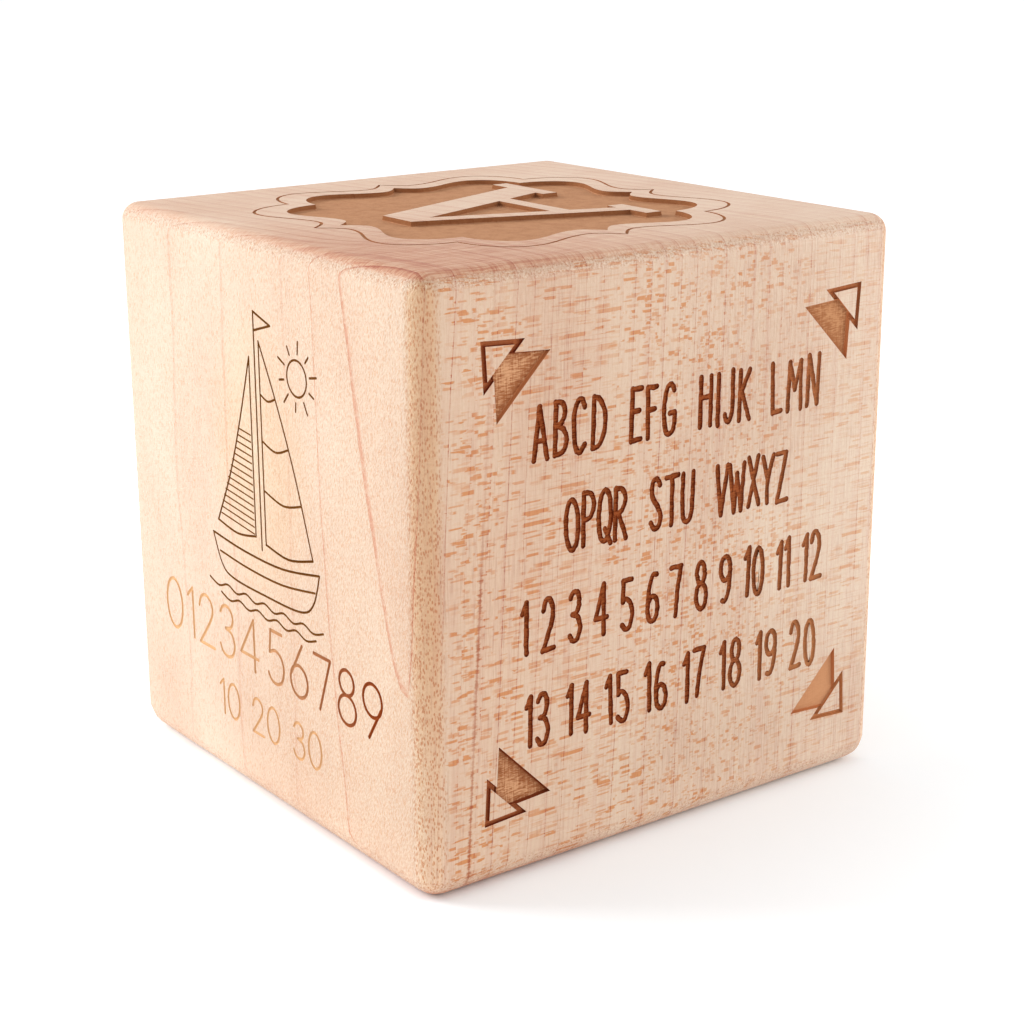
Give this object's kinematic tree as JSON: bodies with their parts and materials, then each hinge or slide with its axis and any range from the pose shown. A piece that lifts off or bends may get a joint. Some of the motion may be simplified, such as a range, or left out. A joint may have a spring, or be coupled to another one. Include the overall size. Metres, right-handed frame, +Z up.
{
  "type": "wooden keepsake block",
  "caption": "Solid maple cube with eased edges, a sunk bracket panel holding a raised letter on top, and laser-cut decoration on two side faces.",
  "frame": {"origin": "middle of the underside", "axes": "+Z up along the grain; -Y is the side with the corner triangles and the rows of characters; -X is the side with the line picture"},
  "size_m": [0.062, 0.0608, 0.0635],
  "materials": {
    "maple": "sanded smooth, bare or thinly oiled, with laser-scorched cuts"
  },
  "bodies": {
    "root": {"maple_block": "maple"}
  },
  "joints": []
}
